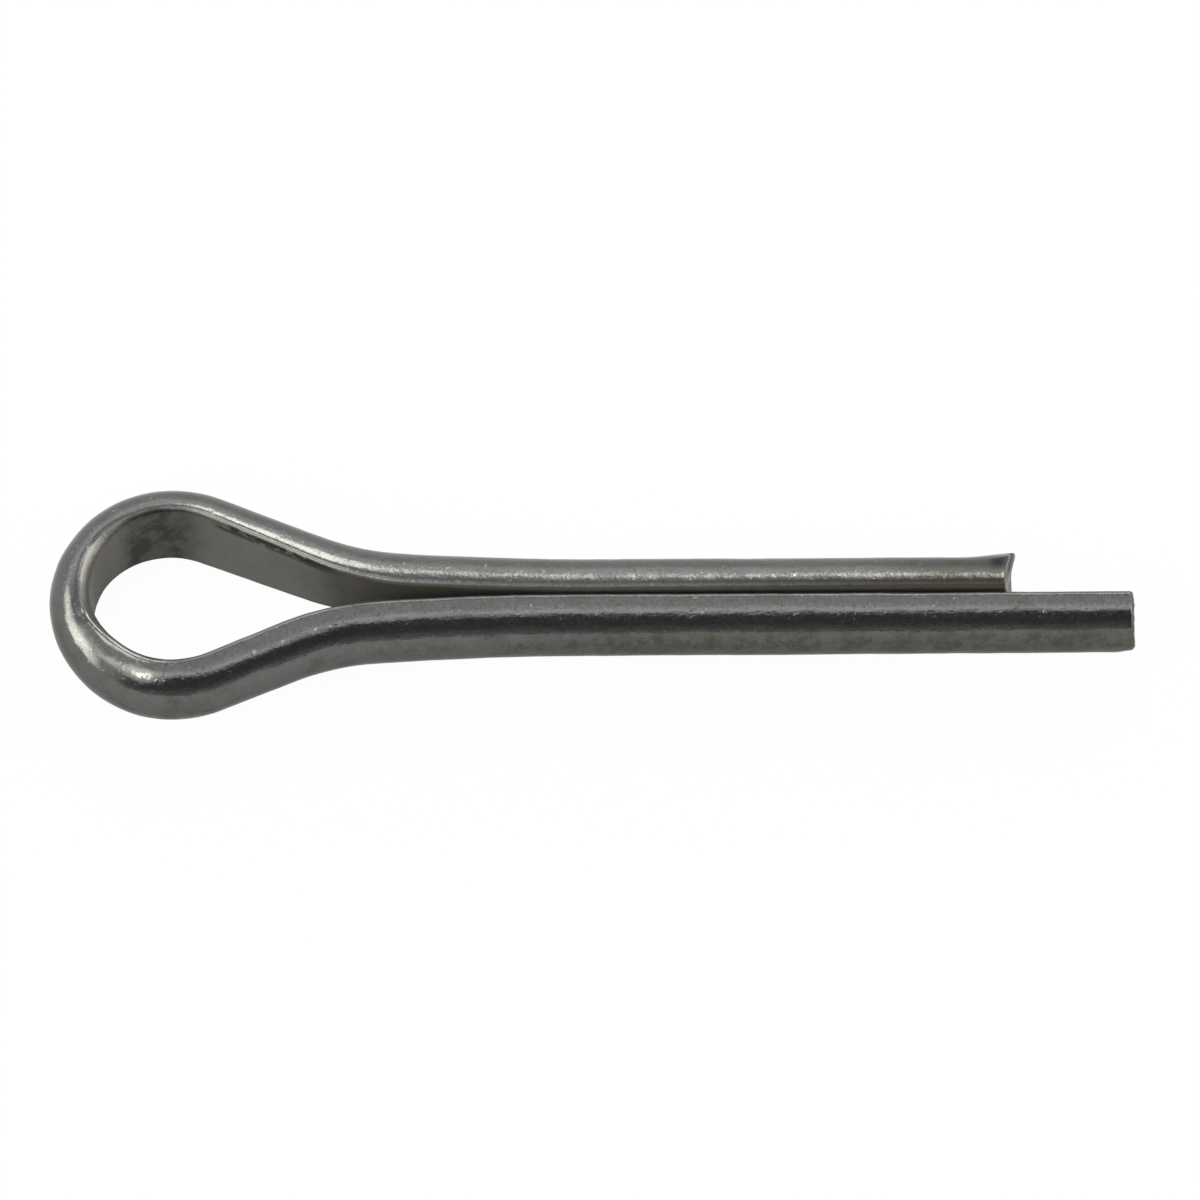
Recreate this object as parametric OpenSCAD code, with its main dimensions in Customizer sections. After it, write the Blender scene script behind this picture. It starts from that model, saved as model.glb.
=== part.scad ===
// Extended-prong cotter pin (split pin), bent from one length of half-round steel wire.
//
// The pin lies flat. X runs along the shank from the eye to the tips, Y across the two legs
// and Z up. The origin is on the shank's axis, in the plane where the shoulders meet the rim
// of the hole, which is also where the pin's length is measured from.

/* [Wire] */
// Diameter of the closed shank, both legs together
shank_d = 5.7; // [4.5:0.1:7]
// Gap that stays open between the flats of the two legs
split_gap = 0.14; // [0.06:0.01:0.3]
// Radius of the wire's two rounded corners, where its flat meets its round
corner_r = 0.5; // [0.2:0.05:0.8]

/* [Eye] */
// Inside radius of the eye, up to the flat of the wire
eye_r = 4.7; // [4.2:0.1:7]
// Distance of the eye's centre from the shank's axis, towards the short leg
eye_offset = 0.4; // [0:0.05:0.8]
// Slope of each leg against the shank where it runs in from the eye
taper_angle = 24.4; // [18:0.2:30]

/* [Shoulders] */
// Bend radius of the shoulder, at the flat of the wire
shoulder_r = 16.5; // [8:0.5:22]
// Bend radius of the easing between shoulder and shank, at the flat of the wire
easing_r = 165; // [80:5:200]
// Slope of a leg where the shoulder runs out into the easing
easing_angle = 4.2; // [2:0.2:6]
// How much wider than the shank the hole is that the pin is made for
hole_clearance = 1.05; // [0.3:0.05:1.6]

/* [Legs] */
// Length of the pin, from the hole's rim to the tip of the short leg
pin_length = 37.5; // [25:0.1:60]
// How far the long leg reaches past the short one
prong_step = 7.1; // [3:0.1:12]

/* [Sheared tips] */
// Lean of both cuts: the upper edge of each tip is set back by it
cut_lean = 4.5; // [0:0.5:10]
// Skew of the short leg's cut: its round side is left longer than its flat
short_cut_skew = 8; // [0:0.5:14]
// Length of the round side that the shear dragged outwards on the short leg
drag_length = 1.7; // [0.8:0.1:3]
// Angle at which that end is dragged outwards
drag_angle = 5; // [2:0.5:8]

/* [Hidden] */
$fn = 96;

shank_r = shank_d / 2;
half_gap = split_gap / 2;
wire_t = shank_r - half_gap;
long_length = pin_length + prong_step;

// The rounded corners of the section: their centres' height above its middle, and the slope
// of the line on which the round runs into them. They stand a touch proud of the round, so
// that the arcs cross and don't only touch.
corner_proud = 0.004;
corner_z = sqrt(pow(shank_r - corner_r + corner_proud, 2) - pow(corner_r + half_gap, 2));
corner_slope = atan2(corner_z, corner_r + half_gap);

// The wire is bent beyond both tips by this much before they are cut
spare = shank_d;

// Centre of the shoulder's bend, from the start of the straight shank and the split plane
shoulder_y = half_gap + easing_r - (easing_r - shoulder_r) * cos(easing_angle);
shoulder_x = (easing_r - shoulder_r) * sin(easing_angle);

// Height of a leg's flat above the split plane where the straight taper begins
taper_y = shoulder_y - shoulder_r * cos(taper_angle);

// Length of a leg's straight taper, for an eye whose centre lies offset towards that leg
function taper_length(offset) =
    (eye_r * cos(taper_angle) + offset - taper_y) / sin(taper_angle);

// Distance along X from the eye's centre to the start of a leg's straight shank
function neck_length(offset) =
    eye_r * sin(taper_angle) + taper_length(offset) * cos(taper_angle)
    + shoulder_r * sin(taper_angle) + shoulder_x;

// Distance along X from the hole's rim to the start of the straight shank. The rim meets
// the round of the wire on its shoulder, or on its easing if the hole is a close one.
hole_r = (shank_d + hole_clearance) / 2;
easing_top = half_gap + easing_r - (easing_r - wire_t) * cos(easing_angle);
seat_to_shank = hole_r < easing_top
    ? sqrt(pow(easing_r - wire_t, 2) - pow(half_gap + easing_r - hole_r, 2))
    : shoulder_x + sqrt(pow(shoulder_r - wire_t, 2) - pow(shoulder_y - hole_r, 2));

eye_x = seat_to_shank - neck_length(0);

// Distance along X from the hole's rim to the start of a leg's straight shank
function shank_start(offset) = eye_x + neck_length(offset);

// Half-round wire: X from the flat towards the round, Y across the flat. The inset makes it
// thinner all round.
module wire_section(inset = 0) {
    reach = 2 * shank_r;
    rim = [reach * cos(corner_slope) - half_gap, reach * sin(corner_slope)];
    apex_y = (inset + half_gap) * tan(corner_slope);
    // the round side, a sector of the shank's circle that ends at the corners' centres
    intersection() {
        translate([-half_gap, 0]) circle(r = shank_r - inset);
        polygon([
            [inset, apex_y], [rim.x, rim.y], [reach, reach],
            [reach, -reach], [rim.x, -rim.y], [inset, -apex_y]
        ]);
    }
    // the flat side, up to the corners' centres
    polygon([
        [inset, -corner_z], [corner_r, -corner_z], [inset, -apex_y],
        [inset, apex_y], [corner_r, corner_z], [inset, corner_z]
    ]);
    for (side = [-1, 1])
        translate([corner_r, side * corner_z]) circle(r = corner_r - inset);
}

// The wire is bent like a length fed through a bending tool. Each step below draws its own
// length and hands the place and heading of its end to the step that follows. The wire is
// fed along X, with its flat on the X axis and its round on the +Y side. A step that is a
// link is a hair thinner all round and reaches a little way into both of its neighbours,
// which makes one solid of the wire at any size.
link_inset = 0.01;
link_reach = 0.1;

// A straight run
module run(length, link = false) {
    reach = link ? link_reach : 0;
    translate([-reach, 0, 0]) rotate([90, 0, 90])
        linear_extrude(height = length + 2 * reach) wire_section(link ? link_inset : 0);
    translate([length, 0, 0]) children();
}

// A bend towards the round side; the radius is the flat's
module bend_out(radius, angle, link = false) {
    reach = link ? link_reach / radius * 180 / PI : 0;
    translate([0, radius, 0]) {
        rotate_extrude(angle = angle + 2 * reach, start = 270 - reach)
            translate([radius, 0]) mirror([1, 0]) wire_section(link ? link_inset : 0);
        rotate([0, 0, angle]) translate([0, -radius, 0]) children();
    }
}

// A bend towards the flat side; the radius is the flat's
module bend_in(radius, angle) {
    translate([0, -radius, 0]) {
        rotate_extrude(angle = angle, start = 90 - angle)
            translate([radius, 0]) wire_section();
        rotate([0, 0, -angle]) translate([0, radius, 0]) children();
    }
}

// The whole wire from one tip to the other, before its tips are cut
module bent_wire() {
    translate([long_length + spare, -half_gap, 0]) rotate([0, 0, 180])
        run(long_length + spare - shank_start(-eye_offset))
        bend_out(easing_r, easing_angle, link = true)
        bend_out(shoulder_r, taper_angle - easing_angle)
        run(taper_length(-eye_offset), link = true)
        bend_in(eye_r, 180 + 2 * taper_angle)
        run(taper_length(eye_offset), link = true)
        bend_out(shoulder_r, taper_angle - easing_angle)
        bend_out(easing_r, easing_angle, link = true)
        run(pin_length + spare - shank_start(eye_offset));
}

// The end of the short leg, dragged outwards by the shear, rises out of the leg's round side
module dragged_end() {
    sink = 0.03;
    translate([pin_length - drag_length, half_gap, 0])
        rotate([0, 0, drag_angle]) rotate([90, 0, 90])
            linear_extrude(height = drag_length + spare) wire_section(sink);
}

// Space beyond a sheared end, whose cut crosses the shank's axis at x, on one leg's side
module beyond_cut(x, side, skew) {
    space = 4 * shank_d;
    half = space / 2;
    intersection() {
        translate([x, 0, 0]) rotate([0, -cut_lean, -side * skew])
            translate([0, -half, -half]) cube(space);
        translate([x - half, side > 0 ? 0 : -half, -half]) cube([2 * space, half, space]);
    }
}

// The whole pin: one wire from tip to tip
module split_wire() {
    color([0.62, 0.63, 0.62])
        difference() {
            union() {
                bent_wire();
                dragged_end();
            }
            beyond_cut(pin_length, 1, short_cut_skew);
            beyond_cut(long_length, -1, 0);
        }
}

split_wire();
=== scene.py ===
import math
import bmesh
import bpy
from mathutils import Matrix, Vector


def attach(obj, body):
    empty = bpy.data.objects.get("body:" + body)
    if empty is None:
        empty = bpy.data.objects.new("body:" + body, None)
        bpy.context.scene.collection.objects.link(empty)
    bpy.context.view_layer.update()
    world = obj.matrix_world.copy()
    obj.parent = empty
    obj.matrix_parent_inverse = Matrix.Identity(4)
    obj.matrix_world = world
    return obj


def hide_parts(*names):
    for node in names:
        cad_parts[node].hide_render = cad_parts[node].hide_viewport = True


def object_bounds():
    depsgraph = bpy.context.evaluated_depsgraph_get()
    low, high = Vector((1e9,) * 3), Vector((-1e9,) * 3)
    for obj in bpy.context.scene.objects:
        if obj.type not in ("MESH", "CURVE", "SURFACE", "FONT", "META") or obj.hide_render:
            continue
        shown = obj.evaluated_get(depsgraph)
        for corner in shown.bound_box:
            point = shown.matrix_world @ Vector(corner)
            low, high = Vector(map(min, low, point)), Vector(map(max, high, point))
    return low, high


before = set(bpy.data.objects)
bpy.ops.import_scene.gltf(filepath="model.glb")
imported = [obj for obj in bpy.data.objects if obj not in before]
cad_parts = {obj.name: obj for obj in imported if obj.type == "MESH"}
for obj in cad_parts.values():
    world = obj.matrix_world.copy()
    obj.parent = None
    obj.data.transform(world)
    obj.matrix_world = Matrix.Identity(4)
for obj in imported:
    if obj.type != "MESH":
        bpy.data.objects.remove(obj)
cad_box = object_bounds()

mm = 0.001
shank_r = 2.85 * mm
half_gap = 0.07 * mm
wire_thickness = shank_r - half_gap
edge_r = 0.36 * mm
edge_z = math.sqrt((shank_r - edge_r) ** 2 - (edge_r + half_gap) ** 2)
edge_turn = math.pi - math.atan2(edge_z, edge_r + half_gap)
edge_steps = 12
round_steps = 48
flat_points = 19


def spin_point(centre, angle, steps):
    # without a window the spin operator turns clockwise for a positive angle
    bpy.ops.mesh.spin(steps=steps, angle=-angle, center=centre, axis=(1, 0, 0))


bpy.ops.object.select_all(action="DESELECT")
bpy.ops.mesh.primitive_plane_add(size=edge_r)
wire = bpy.context.object
wire.name = "bent_wire"
bpy.ops.object.mode_set(mode="EDIT")
bpy.ops.mesh.select_mode(type="VERT")
bpy.ops.mesh.select_all(action="SELECT")
bpy.ops.mesh.merge(type="CENTER")
bpy.ops.transform.translate(value=(0, 0, edge_z))
spin_point((0, edge_r, edge_z), -edge_turn, edge_steps)
spin_point((0, -half_gap, 0), 2 * edge_turn - 2 * math.pi, round_steps)
spin_point((0, edge_r, -edge_z), -edge_turn, edge_steps)
for flat_point in range(flat_points):
    bpy.ops.mesh.extrude_region_move(
        TRANSFORM_OT_translate={"value": (0, 0, 2 * edge_z / (flat_points + 1))})
bpy.ops.mesh.select_all(action="SELECT")
bpy.ops.mesh.edge_face_add()

outline = bmesh.from_edit_mesh(wire.data)
drawn = outline.verts.layers.float_vector.new("drawn_wire")
for point in outline.verts:
    point[drawn] = point.co
bmesh.update_edit_mesh(wire.data)

# ---------------------------------------------------------------------------------------
# The bends: the wire is fed from the long leg's end through easing, shoulder and taper,
# round the eye and back down the short leg. Each slice is pulled out of the last one and
# turned. The bending tool rolls the section a few degrees and thins it at the crown.
eye_r = 4.7 * mm
shoulder_r = 16.5 * mm
easing_r = 165 * mm
taper_angle = math.radians(24.4)
easing_angle = math.radians(4.2)
tip_x = [37.27 * mm, 44.76 * mm]
spare = 3 * mm
eye_x = cad_box[0][0] + eye_r + wire_thickness
eye_offset = (cad_box[0][1] + cad_box[1][1]) / 2
shoulder_y = half_gap + easing_r - (easing_r - shoulder_r) * math.cos(easing_angle)
taper_y = shoulder_y - shoulder_r * math.cos(taper_angle)


def taper_length(offset):
    return (eye_r * math.cos(taper_angle) + offset - taper_y) / math.sin(taper_angle)


def shank_start(offset):
    return (eye_x + eye_r * math.sin(taper_angle) + taper_length(offset) * math.cos(taper_angle)
            + shoulder_r * math.sin(taper_angle)
            + (easing_r - shoulder_r) * math.sin(easing_angle))


def turn_end(angle, axis, centre):
    # without a window the rotate operator turns clockwise for a positive angle
    bpy.ops.transform.rotate(value=-angle, orient_axis=axis, orient_type="GLOBAL",
                             center_override=centre)


end = {"place": Vector((tip_x[1] + spare, -half_gap, 0)), "heading": 0.0, "roll": 0.0,
       "thick": 1.0, "fed": 0.0}


def shape_end(heading, roll, thick):
    # brings the end face back to the X axis, rolls and thins it, and turns it to its heading
    place = end["place"]
    turn_end(-end["heading"], "Z", place)
    turn_end(end["roll"], "X", place)
    bpy.ops.transform.resize(value=(1, thick / end["thick"], 1), orient_type="GLOBAL",
                             center_override=place)
    turn_end(-roll, "X", place)
    turn_end(heading, "Z", place)
    end.update(heading=heading, roll=roll, thick=thick)


def feed(chord, turn, steps, roll, thick):
    first_roll, first_thick = end["roll"], end["thick"]
    for i in range(1, steps + 1):
        along = end["heading"] + turn / steps / 2
        move = Vector((math.cos(along), math.sin(along), 0)) * chord
        bpy.ops.mesh.extrude_region_move(TRANSFORM_OT_translate={"value": move})
        end["place"] = end["place"] + move
        end["fed"] += chord
        mesh = bmesh.from_edit_mesh(wire.data)
        lay = mesh.verts.layers.float_vector["drawn_wire"]
        for point in mesh.verts:
            if point.select:
                point[lay].x = end["fed"]
        part = i / steps
        shape_end(end["heading"] + turn / steps, first_roll + (roll - first_roll) * part,
                  first_thick + (thick - first_thick) * part)


def run(length, steps, roll, thick):
    feed(length / steps, 0, steps, math.radians(roll), thick)


def bend(radius, angle, steps, roll, thick):
    # a positive angle bends towards the round side; the radius is the flat's
    feed(2 * radius * math.sin(abs(angle) / steps / 2), angle, steps, math.radians(roll), thick)


bpy.ops.mesh.select_mode(type="FACE")
bpy.ops.mesh.select_all(action="SELECT")
bpy.ops.transform.translate(value=end["place"])
shape_end(math.pi, math.radians(10.0), 1.0)
run(tip_x[1] + spare - shank_start(-eye_offset), 110, 9.0, 1.02)
bend(easing_r, easing_angle, 22, 8.7, 1.02)
bend(shoulder_r, taper_angle - easing_angle, 18, 9.4, 1.01)
run(taper_length(-eye_offset), 14, 10.0, 0.996)
eye_half = math.pi / 2 + taper_angle
bend(eye_r, -0.35 * eye_half, 16, 9.0, 0.985)
bend(eye_r, -0.35 * eye_half, 16, 4.0, 0.905)
bend(eye_r, -0.60 * eye_half, 28, 1.8, 0.868)
bend(eye_r, -0.35 * eye_half, 16, 3.0, 0.91)
bend(eye_r, -0.35 * eye_half, 16, 3.3, 0.935)
run(taper_length(eye_offset), 18, -2.0, 0.97)
bend(shoulder_r, taper_angle - easing_angle, 18, -8.7, 1.01)
bend(easing_r, easing_angle, 22, -8.4, 1.0)
run(tip_x[0] + spare - shank_start(eye_offset), 90, -7.7, 1.0)

# ---------------------------------------------------------------------------------------
# The tips: both legs are sheared at a slight lean, which leaves a dished, torn face. The
# blade dragged the short leg's round side up and outwards into a burr, and pressed the long
# leg's rim rounder.
short_lean = math.radians(6)
short_skew = math.radians(3)
long_lean = math.radians(3)
split_roll = math.radians(8.7)
rim_round = [0.08 * mm, 0.30 * mm]
rim_steps = 3
torn_rings = 3
torn_step = 0.3 * mm


def select_points(wanted):
    bpy.ops.mesh.select_all(action="DESELECT")
    mesh = bmesh.from_edit_mesh(wire.data)
    for point in mesh.verts:
        if wanted(point.co):
            point.select_set(True)
    mesh.select_flush(True)
    bmesh.update_edit_mesh(wire.data)


def pull(place, reach, move, falloff="SMOOTH"):
    # draws the surface round the point nearest a place, as a soft tool does
    mesh = bmesh.from_edit_mesh(wire.data)
    nearest = min((point.co - place).length for point in mesh.verts) + 0.01 * mm
    select_points(lambda co: (co - place).length < nearest)
    bpy.ops.transform.translate(value=move, use_proportional_edit=True,
                                use_proportional_connected=True, proportional_size=reach,
                                proportional_edit_falloff=falloff)


def shear_off(place, normal, rim, plated_rings, wanted):
    # cuts a leg square to the normal, rounds the rim and dishes the torn face in rings
    bpy.ops.mesh.select_mode(type="VERT")
    select_points(wanted)
    bpy.ops.mesh.bisect(plane_co=place - normal * rim, plane_no=normal, clear_outer=True,
                        threshold=1e-7)
    bpy.ops.mesh.remove_doubles(threshold=0.03 * mm)
    bpy.ops.mesh.edge_face_add()
    bpy.ops.mesh.select_mode(type="FACE")
    cut = [face for face in bmesh.from_edit_mesh(wire.data).faces if face.select]
    middle = cut[0].calc_center_median()
    cut[0].material_index = 1
    turns = [math.pi / 2 * step / rim_steps for step in range(rim_steps + 1)]
    rings = [(rim * (math.cos(first) - math.cos(last)), rim * (math.sin(last) - math.sin(first)))
             for first, last in zip(turns, turns[1:])]
    half_width = wire_thickness / 2
    for count, (inwards, outwards) in enumerate(rings + [(torn_step, -0.02 * mm)] * torn_rings):
        bpy.ops.mesh.extrude_region_move(TRANSFORM_OT_translate={"value": normal * outwards})
        for face in bmesh.from_edit_mesh(wire.data).faces:
            if face.select:
                for edge in face.edges:
                    for side in edge.link_faces:
                        side.material_index = 1 if side == face or count >= plated_rings else 0
        shrink = 1 - inwards / half_width
        bpy.ops.transform.resize(value=(shrink, shrink, shrink), center_override=middle)
        half_width -= inwards
    bpy.ops.mesh.poke()


bpy.ops.mesh.select_mode(type="VERT")
pull(Vector((tip_x[0] + 0.4 * mm, shank_r, 0.4 * mm)), 3.4 * mm, (0, 0.28 * mm, 0))
lean_back = Matrix.Rotation(-short_lean, 3, "Y")
short_normal = Matrix.Rotation(-short_skew, 3, "Z") @ lean_back @ Vector((1, 0, 0))
long_normal = Matrix.Rotation(-long_lean, 3, "Y") @ Vector((1, 0, 0))
leg_split = Vector((0, math.cos(split_roll), math.sin(split_roll)))
short_stretch = (34 * mm, tip_x[0] + 1.02 * spare)
long_stretch = 42 * mm
shear_off(Vector((tip_x[0], 0, 0)), short_normal, rim_round[0], 3,
          lambda co: short_stretch[0] < co.x < short_stretch[1] and co.dot(leg_split) > 0)
shear_off(Vector((tip_x[1], 0, 0)), long_normal, rim_round[1], 0,
          lambda co: co.x > long_stretch)
bpy.ops.mesh.select_mode(type="VERT")
pull(Vector((tip_x[0] + 0.3 * mm, 2.75 * mm, 0.5 * mm)), 1.9 * mm, (0.36 * mm, 0.10 * mm, 0))
pull(Vector((tip_x[0] + 0.3 * mm, 2.0 * mm, 2.1 * mm)), 0.8 * mm,
     (0.12 * mm, 0.10 * mm, 0.05 * mm))
pull(Vector((tip_x[1], -2.5 * mm, -1.5 * mm)), 1.1 * mm, (-0.34 * mm, 0.14 * mm, 0))

# ---------------------------------------------------------------------------------------
# The surface: the bending pin pressed the eye's upper inner edge round, most of all at the
# crown. The drawn wire has shallow waves and die marks, a pit in the crown, a nick below it
# and one by the short tip, and its torn faces are rough.
top = edge_z + edge_r
pressed_deep = 0.90 * mm
pressed_span = (60, 294)


def climb(value, low, high):
    # 0 below the first bound, 1 above the second, straight in between
    return min(max((value - low) / (high - low), 0), 1)


bpy.ops.mesh.select_mode(type="VERT")
mesh = bmesh.from_edit_mesh(wire.data)
lay = mesh.verts.layers.float_vector["drawn_wire"]
for point in mesh.verts:
    spoke = point.co.xy - Vector((eye_x, eye_offset))
    turned = math.degrees(math.atan2(spoke.y, spoke.x)) % 360
    if point.co.x < eye_x + eye_r and pressed_span[0] < turned < pressed_span[1]:
        opened = (climb(turned, 112, 157) * (1 - 0.75 * climb(turned, 190, 230))
                  * (1 - climb(turned, 272, 292)))
        pressed_r = edge_r + pressed_deep * opened * opened * (3 - 2 * opened)
        off_centre = Vector((point[lay].y - pressed_r, point[lay].z - (top - pressed_r)))
        if off_centre.x < 0 < off_centre.y and off_centre.length > pressed_r:
            press = off_centre * (pressed_r / off_centre.length - 1)
            point.co += Vector((*(spoke.normalized() * press.x), press.y))
bmesh.update_edit_mesh(wire.data)
crown_pit = Vector((-17.29, -1.70, 2.58)) * mm
crown_nick = Vector((-14.24, -6.70, -0.07)) * mm
tip_nick = Vector((36.55, 1.35, 2.50)) * mm
pull(crown_pit, 0.45 * mm, Vector((0.05, 0, -0.10)) * mm)
pull(crown_nick, 0.55 * mm, Vector((0.02, 0.07, 0)) * mm)
pull(tip_nick, 0.9 * mm, Vector((0, -0.03, -0.05)) * mm)
bpy.ops.object.mode_set(mode="OBJECT")
torn_face = wire.vertex_groups.new(name="torn_face")
faces = wire.data.polygons
rim_points = {i for face in faces if face.material_index != 1 for i in face.vertices}
cut_points = {i for face in faces if face.material_index == 1 for i in face.vertices}
torn_face.add(sorted(cut_points - rim_points), 1.0, "REPLACE")
roughness_marks = [("drawn_waves", 3.6 * mm, 0.055 * mm, 0.5, "NORMAL", ""),
                   ("die_marks", 0.9 * mm, 0.018 * mm, 0.5, "NORMAL", ""),
                   ("torn_grain", 0.34 * mm, 0.16 * mm, 0.9, "X", "torn_face")]
for name, grain_size, depth, middle, direction, group in roughness_marks:
    texture = bpy.data.textures.new(name, "CLOUDS")
    texture.noise_scale = grain_size
    texture.noise_depth = 2
    marks = wire.modifiers.new(name, "DISPLACE")
    marks.texture = texture
    marks.texture_coords = "LOCAL"
    marks.strength = depth
    marks.mid_level = middle
    marks.direction = direction
    marks.vertex_group = group
    bpy.ops.object.modifier_apply(modifier=name)

# the roll and the waves made the wire a little higher: it goes back to just inside the part
half_height = max(abs(point.co.z) for point in wire.data.vertices)
bpy.ops.object.mode_set(mode="EDIT")
bpy.ops.mesh.select_all(action="SELECT")
bpy.ops.transform.resize(value=(1, 1, 0.999 * cad_box[1][2] / half_height),
                         center_override=(0, 0, 0))
bpy.ops.object.mode_set(mode="OBJECT")
bpy.ops.object.shade_smooth_by_angle(angle=math.radians(40))
bpy.ops.object.select_all(action="DESELECT")

# ---------------------------------------------------------------------------------------
# The finish: a thin electroplated zinc skin, mid grey and a little uneven, with fine drawing
# lines, crystal grain and a few painted glints. It has a brown stain below, which also paints in
# a darker reflection there, soot in the eye and dirt between the legs. Painted reflection
# lightens the flat faces round the eye and darkens the far leg's upper corner there, painted
# shade darkens the edges by the gap, and a smudge by the short tip also paints shade over a
# nick. The sheared ends are bare, paler and torn.
class Shade:
    """One output of a material's nodes; sums on it add Math nodes."""

    def __init__(self, tree, socket=None):
        self.tree = tree
        self.socket = socket

    def add(self, kind, settings, sockets, output=0):
        node = self.tree.nodes.new(kind)
        for name, value in settings.items():
            if name == "stops":
                ramp = node.color_ramp
                while len(ramp.elements) > 1:
                    ramp.elements.remove(ramp.elements[0])
                for i, (place, colour) in enumerate(value):
                    stop = ramp.elements[0] if i == 0 else ramp.elements.new(place)
                    stop.position = place
                    stop.color = (*colour, 1)
            else:
                setattr(node, name, value)
        for name, value in sockets.items():
            if isinstance(value, Shade):
                self.tree.links.new(value.socket, node.inputs[name])
            else:
                node.inputs[name].default_value = value
        return Shade(self.tree, node.outputs[output] if node.outputs else None)

    def sum(self, operation, first, second):
        return self.add("ShaderNodeMath", {"operation": operation}, {0: first, 1: second})

    def __add__(self, other):
        return self.sum("ADD", self, other)

    def __sub__(self, other):
        return self.sum("SUBTRACT", self, other)

    def __mul__(self, other):
        return self.sum("MULTIPLY", self, other)

    def __rsub__(self, other):
        return self.sum("SUBTRACT", other, self)

    __radd__ = __add__
    __rmul__ = __mul__

    def between(self, low, high):
        # 0 below the first value, 1 above the second, smooth in between
        return self.add("ShaderNodeMapRange", {"interpolation_type": "SMOOTHSTEP"},
                        {"Value": self, "From Min": low, "From Max": high})


def new_finish(name):
    # the second value has no socket yet: a material's first nodes are added from it
    material = bpy.data.materials.new(name)
    material.use_nodes = True
    material.node_tree.nodes.clear()
    return material, Shade(material.node_tree)


def blend(start, share, first, second):
    return start.add("ShaderNodeMix", {"data_type": "RGBA"}, {0: share, 6: first, 7: second}, 2)


def grain(start, place, scale, detail, rough):
    return start.add("ShaderNodeTexNoise", {},
                     {"Vector": place, "Scale": scale, "Detail": detail, "Roughness": rough})


zinc, start = new_finish("zinc_plating")
in_wire = start.add("ShaderNodeAttribute", {"attribute_name": "drawn_wire"}, {}, "Vector")
place = start.add("ShaderNodeTexCoord", {}, {}, "Object")
drawn_out = start.add("ShaderNodeVectorMath", {"operation": "MULTIPLY"},
                      {0: in_wire, 1: (0.16, 1, 1)})
off_flat = start.add("ShaderNodeSeparateXYZ", {}, {0: in_wire}, "Y")
reach, across, rise = (start.add("ShaderNodeSeparateXYZ", {}, {0: place}, axis)
                       for axis in "XYZ")
lines = grain(start, drawn_out, 2600, 3, 0.55)
crystals = grain(start, place, 5200, 2, 0.5)
patches = grain(start, place, 700, 5, 0.65)
mottle = grain(start, place, 1500, 3, 0.6)
dings = grain(start, place, 2900, 2, 0.5).between(0.60, 0.78)
specks = grain(start, place, 4300, 1, 0.5).between(0.64, 0.74)

far_leg = across.between(-0.50 * mm, -0.35 * mm)
flat_side = 1 - off_flat.between(0.05 * mm, 0.45 * mm)
lower_side = 1 - rise.between(0.6 * mm, 1.9 * mm)
# a brown stain on the lower side along the shank, which also paints in the darker reflection of
# the floor in front
lower_stain_and_painted_reflection = lower_side * reach.between(1 * mm, 18 * mm)
# darker on the lower side by the eye's bend
lower_bend_darkening = (lower_side * reach.between(-13.2 * mm, -12.2 * mm)
              * (1 - reach.between(-10.4 * mm, -9 * mm)))
eye_soot = (flat_side * reach.between(-15.4 * mm, -14.2 * mm)
            * (1 - reach.between(-13.0 * mm, -10.0 * mm)))
# a dark smudge by the short tip's cut, which also paints shade over the nick's highlight there
off_tip_spot = start.add("ShaderNodeVectorMath", {"operation": "DISTANCE"},
                       {0: place, 1: Vector((36.62, 1.6, 2.25)) * mm}, "Value")
tip_smudge_and_painted_shade = 1 - off_tip_spot.between(0.15 * mm, 0.80 * mm)
# the brown stains, mottling and specks, the painted darker reflection below, and on the far leg
# a darkening towards the short tip that dims its highlight there
stains_with_painted_reflection = (patches.between(0.42, 0.64)
           * (0.2 + 0.25 * flat_side + 0.45 * eye_soot + 0.25 * lower_side)
           + (0.15 + 0.3 * mottle.between(0.46, 0.60)) * (lower_stain_and_painted_reflection + lower_bend_darkening) + 0.5 * specks
           + 0.20 * lower_stain_and_painted_reflection + 0.30 * crystals.between(0.46, 0.64) * lower_side
           + 0.6 * far_leg * reach.between(27 * mm, 34 * mm))
clean = blend(start, crystals.between(0.35, 0.65),
              (0.118, 0.122, 0.121, 1), (0.142, 0.145, 0.141, 1))
# painted glints: bright specks in the colour along the top of the wire, where the highlights
# fall
painted_glints = grain(start, place, 2700, 1, 0.5).between(0.69, 0.77) * rise.between(1.9 * mm, 2.3 * mm)
clean = blend(start, 0.5 * painted_glints, clean, (0.38, 0.37, 0.33, 1))
colour = blend(start, stains_with_painted_reflection, clean, (0.070, 0.067, 0.057, 1))
# painted reflection: a lighter colour on the flat faces round the eye and taper, in place of
# their brighter reflection
painted_flat_reflection = (0.80 * flat_side * (1 - reach.between(-4 * mm, -1 * mm))
         * (1 + reach.between(-12 * mm, -9.5 * mm) - reach.between(-15.4 * mm, -14.2 * mm)))
colour = blend(start, painted_flat_reflection, colour, (0.215, 0.210, 0.195, 1))
# painted dark reflection: a ragged dark stripe along the far leg's upper corner by the eye,
# where the dark front of the studio would reflect
painted_dark_corner_reflection = (0.80 * (1 - off_flat.between(0.04 * mm, 0.20 * mm))
               * rise.between(1.8 * mm, 2.1 * mm) * across.between(0.4 * mm, 0.8 * mm)
               * mottle.between(0.36, 0.50) * reach.between(-9.8 * mm, -9.0 * mm)
               * (1 - reach.between(-4 * mm, -1 * mm)))
colour = blend(start, painted_dark_corner_reflection, colour, (0.030, 0.029, 0.026, 1))
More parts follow.
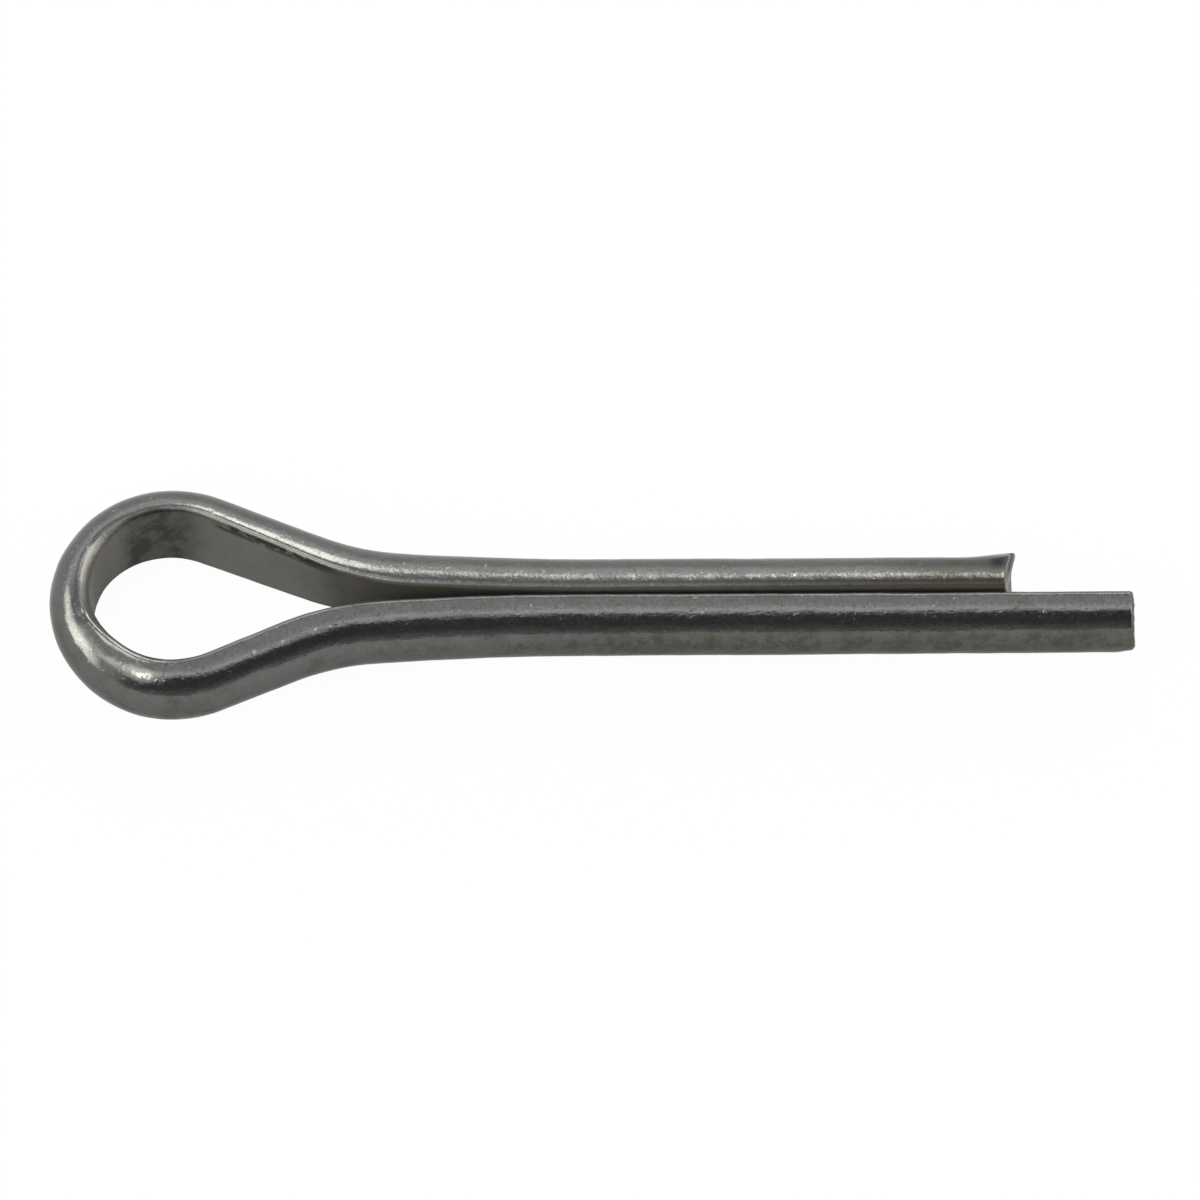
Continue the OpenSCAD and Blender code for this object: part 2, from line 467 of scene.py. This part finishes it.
# painted shade: darker edges next to the gap between the legs, and a darker lower band on the
# far leg towards the short tip
painted_gap_shade = ((0.45 * (1 - off_flat.between(0.05 * mm, 0.30 * mm))
             + far_leg * (0.15 + 0.55 * reach.between(14 * mm, 30 * mm))
             * (1 - off_flat.between(0.35 * mm, 0.85 * mm)))
            * reach.between(2 * mm, 7 * mm) * (1 - reach.between(tip_x[0] - 0.5 * mm, tip_x[0])))
colour = blend(start, painted_gap_shade, colour, (0.045, 0.042, 0.035, 1))
colour = blend(start, tip_smudge_and_painted_shade, colour, (0.030, 0.029, 0.027, 1))
in_gap = ((1 - off_flat.between(0.02 * mm, (0.06 + 0.16 * far_leg) * mm))
          * reach.between(-3 * mm, -1 * mm) * (1 - 0.45 * reach.between(3 * mm, 9 * mm)))
dirt = blend(start, reach.between(4 * mm, 12 * mm),
             (0.075, 0.070, 0.057, 1), (0.160, 0.150, 0.120, 1))
colour = blend(start, in_gap, colour, dirt)
rust = 0.25 * reach.between(44.0 * mm, 44.3 * mm) * (1 - rise.between(1.6 * mm, 2.2 * mm))
colour = blend(start, rust, colour, (0.120, 0.078, 0.064, 1))
gloss = 0.10 + 0.06 * crystals.between(0.3, 0.7) + 0.30 * flat_side + 0.10 * lower_side * patches
height = 0.45 * lines + 0.6 * patches + 0.18 * crystals + 0.3 * dings + 0.35 * mottle
bump = start.add("ShaderNodeBump", {},
                 {"Strength": 1.0, "Distance": 0.022 * mm, "Height": height})
start.add("ShaderNodeOutputMaterial", {}, {"Surface": start.add(
    "ShaderNodeBsdfPrincipled", {},
    {"Base Color": colour, "Metallic": 1 - 0.9 * in_gap, "Roughness": gloss, "Normal": bump,
     "Specular Tint": (0.75, 0.75, 0.75, 1)})})

sheared, start = new_finish("sheared_steel")
place = start.add("ShaderNodeTexCoord", {}, {}, "Object")
tears = grain(start, place, 3200, 4, 0.6)
torn_away = start.add("ShaderNodeSeparateXYZ", {}, {0: place}, "Z").between(0.9 * mm, 1.6 * mm)
burnished = blend(start, tears.between(0.35, 0.65), (0.42, 0.41, 0.39, 1), (0.58, 0.57, 0.54, 1))
crumbled = blend(start, tears.between(0.42, 0.58), (0.58, 0.55, 0.50, 1), (0.98, 0.96, 0.91, 1))
tone = blend(start, torn_away, burnished, crumbled)
bump = start.add("ShaderNodeBump", {}, {"Strength": 1.0, "Distance": 0.05 * mm, "Height": tears})
start.add("ShaderNodeOutputMaterial", {}, {"Surface": start.add(
    "ShaderNodeBsdfPrincipled", {},
    {"Base Color": tone, "Metallic": 0.8 - 0.5 * torn_away, "Roughness": 0.35 + 0.3 * tears,
     "Normal": bump})})

wire.data.materials.clear()
wire.data.materials.append(zinc)
wire.data.materials.append(sheared)
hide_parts("split_wire")
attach(wire, "root")

# ---------------------------------------------------------------------------------------
# The floor: a sheet of white paper that the pin lies on. It shows nearly plain white to the
# camera and less to reflections; the pin's faint shadow stays in its share of plain shading.
paper_size = 8
bpy.ops.mesh.primitive_plane_add(size=paper_size, location=(0, 0, cad_box[0][2]))
floor = bpy.context.object
floor.name = "paper_floor"
paper, start = new_finish("white_paper")
ray = start.add("ShaderNodeLightPath", {}, {})
ray_kinds = ray.socket.node.outputs
seen = Shade(paper.node_tree, ray_kinds["Is Camera Ray"])
mirrored = (Shade(paper.node_tree, ray_kinds["Is Glossy Ray"])
            + Shade(paper.node_tree, ray_kinds["Is Transmission Ray"]))
fibre = grain(start, start.add("ShaderNodeTexCoord", {}, {}, "Object"), 900, 2, 0.5)
sheet = start.add("ShaderNodeBsdfDiffuse", {}, {"Color": blend(
    start, fibre, (0.62, 0.62, 0.62, 1), (0.66, 0.66, 0.66, 1))})
white = start.add("ShaderNodeEmission", {}, {"Color": (1, 1, 1, 1), "Strength": 1.0})
start.add("ShaderNodeOutputMaterial", {}, {"Surface": start.add(
    "ShaderNodeMixShader", {}, {0: 0.97 * seen + 0.3 * mirrored, 1: sheet, 2: white})})
floor.data.materials.append(paper)

# ---------------------------------------------------------------------------------------
# The studio: a soft tent round the table, dark towards the camera's stand, with lamps that
# draw the bands of light along the wire. An angle of 0 is the front, 90 straight up and 180
# the back; the side angle is positive towards the tips.
tent_bands = [(0, 0.56), (8, 0.40), (16, 0.26), (24, 0.18), (44, 0.17), (48, 0.5), (52, 1.6),
              (57, 2.1), (62, 1.4), (70, 1.15), (100, 1.1), (115, 0.80), (123, 0.75),
              (130, 0.95), (139, 1.2), (149, 1.77), (159, 1.85), (170, 1.3), (180, 1.0)]
# each lamp: angle, side angle, where its light is full, where it ends, strength
lamps = [(46, -20.5, 2.5, 8, 8.0), (48, -23, 6, 23, 1.8), (141, 12, 5, 13, 6.0),
         (98, -18, 4, 15, 3.5), (115, 38, 5, 17, 3.0), (45, -62, 12, 34, 1.0),
         (45, -82, 4, 26, 4.5), (147, -66, 4, 12, 3.0), (100, 84, 12, 38, 3.0)]
world = bpy.data.worlds.new("studio_tent")
bpy.context.scene.world = world
world.use_nodes = True
world.node_tree.nodes.clear()
start = Shade(world.node_tree)
toward = start.add("ShaderNodeTexCoord", {}, {}, "Generated")
to_back = start.add("ShaderNodeSeparateXYZ", {}, {0: toward}, "Y")
to_top = start.add("ShaderNodeSeparateXYZ", {}, {0: toward}, "Z")
half_turns = start.sum("ARCTAN2", to_top, 0 - to_back) * (1 / math.pi)
brightest = max(value for angle, value in tent_bands)
bands = start.add("ShaderNodeValToRGB", {"stops": [
    (angle / 180, (value / brightest,) * 3) for angle, value in tent_bands]}, {0: half_turns})
cool = start.add("ShaderNodeVectorMath", {"operation": "SCALE"}, {0: bands, "Scale": brightest})
warm = 0.0
for angle, side, core, edge, strength in lamps:
    up, out = math.radians(angle), math.radians(side)
    aim = (math.sin(out), -math.cos(out) * math.cos(up), math.cos(out) * math.sin(up))
    facing = start.add("ShaderNodeVectorMath", {"operation": "DOT_PRODUCT"},
                       {0: toward, 1: aim}, "Value")
    lit = facing.between(math.cos(math.radians(edge)), math.cos(math.radians(core)))
    warm = warm + strength * lit
glow = start.add("ShaderNodeVectorMath", {"operation": "MULTIPLY_ADD"},
                 {0: warm, 1: (1, 0.98, 0.88), 2: cool})
start.add("ShaderNodeOutputWorld", {}, {"Surface": start.add(
    "ShaderNodeBackground", {}, {"Color": glow, "Strength": 1.0})})

# ---------------------------------------------------------------------------------------
# The camera: a long lens from the near side, above the long leg, turned a little with the pin.
shank_d = 2 * shank_r
film_width = 36
azimuth, elevation, lean = (math.radians(v) for v in (-2.41, 60.09, 1.757))
distance = 200 * shank_d
frame_width = 12.3993 * shank_d
target = Vector((eye_x + 4.428 * shank_d, 0.0862 * shank_d, 0))
back = Vector((math.sin(azimuth) * math.cos(elevation), -math.cos(azimuth) * math.cos(elevation),
               math.sin(elevation)))
level = Vector((math.cos(azimuth), math.sin(azimuth), 0))
right = level * math.cos(lean) + back.cross(level) * math.sin(lean)
lens = bpy.data.cameras.new("camera")
camera = bpy.data.objects.new("camera", lens)
bpy.context.scene.collection.objects.link(camera)
lens.sensor_width = film_width
lens.lens = film_width * distance / frame_width
lens.clip_start = 0.01
lens.clip_end = 50
camera.matrix_world = (Matrix.Translation(target + back * distance)
                       @ Matrix((right, back.cross(right), back)).transposed().to_4x4())
bpy.context.scene.camera = camera
bpy.context.scene.view_settings.view_transform = "Standard"
